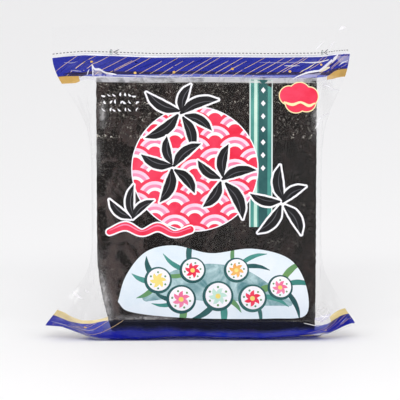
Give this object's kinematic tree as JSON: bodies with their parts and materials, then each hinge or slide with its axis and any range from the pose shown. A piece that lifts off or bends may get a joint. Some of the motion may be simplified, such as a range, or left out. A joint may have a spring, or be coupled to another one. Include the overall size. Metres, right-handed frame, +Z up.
{
  "type": "packet of nori sheets",
  "caption": "Sealed clear film packet with blue end bands, holding an upright stack of dark roasted seaweed sheets.",
  "frame": {"origin": "on the surface the packet stands on, under the middle of its box", "axes": "+Z up, front of the packet faces -Y, +X to the right seen from the front"},
  "size_m": [0.2696, 0.0676, 0.2685],
  "materials": {
    "clear_film": "gloss",
    "sachet_paper": "matte",
    "nori": "satin"
  },
  "bodies": {
    "root": {"film_bag": "clear_film", "drying_sachet": "sachet_paper", "nori_sheets_01": "nori", "nori_sheets_02": "nori", "nori_sheets_03": "nori", "nori_sheets_04": "nori", "nori_sheets_05": "nori", "nori_sheets_06": "nori", "nori_sheets_07": "nori", "nori_sheets_08": "nori", "nori_sheets_09": "nori", "nori_sheets_10": "nori", "nori_sheets_11": "nori", "nori_sheets_12": "nori", "nori_sheets_13": "nori", "nori_sheets_14": "nori", "nori_sheets_15": "nori", "nori_sheets_16": "nori", "nori_sheets_17": "nori", "nori_sheets_18": "nori", "nori_sheets_19": "nori", "nori_sheets_20": "nori", "nori_sheets_21": "nori", "nori_sheets_22": "nori", "nori_sheets_23": "nori", "nori_sheets_24": "nori", "nori_sheets_25": "nori", "nori_sheets_26": "nori", "nori_sheets_27": "nori", "nori_sheets_28": "nori", "nori_sheets_29": "nori", "nori_sheets_30": "nori", "nori_sheets_31": "nori", "nori_sheets_32": "nori", "nori_sheets_33": "nori", "nori_sheets_34": "nori", "nori_sheets_35": "nori", "nori_sheets_36": "nori", "nori_sheets_37": "nori", "nori_sheets_38": "nori", "nori_sheets_39": "nori", "nori_sheets_40": "nori", "nori_sheets_41": "nori", "nori_sheets_42": "nori", "nori_sheets_43": "nori", "nori_sheets_44": "nori", "nori_sheets_45": "nori", "nori_sheets_46": "nori", "nori_sheets_47": "nori", "nori_sheets_48": "nori", "nori_sheets_49": "nori", "nori_sheets_50": "nori"}
  },
  "joints": []
}
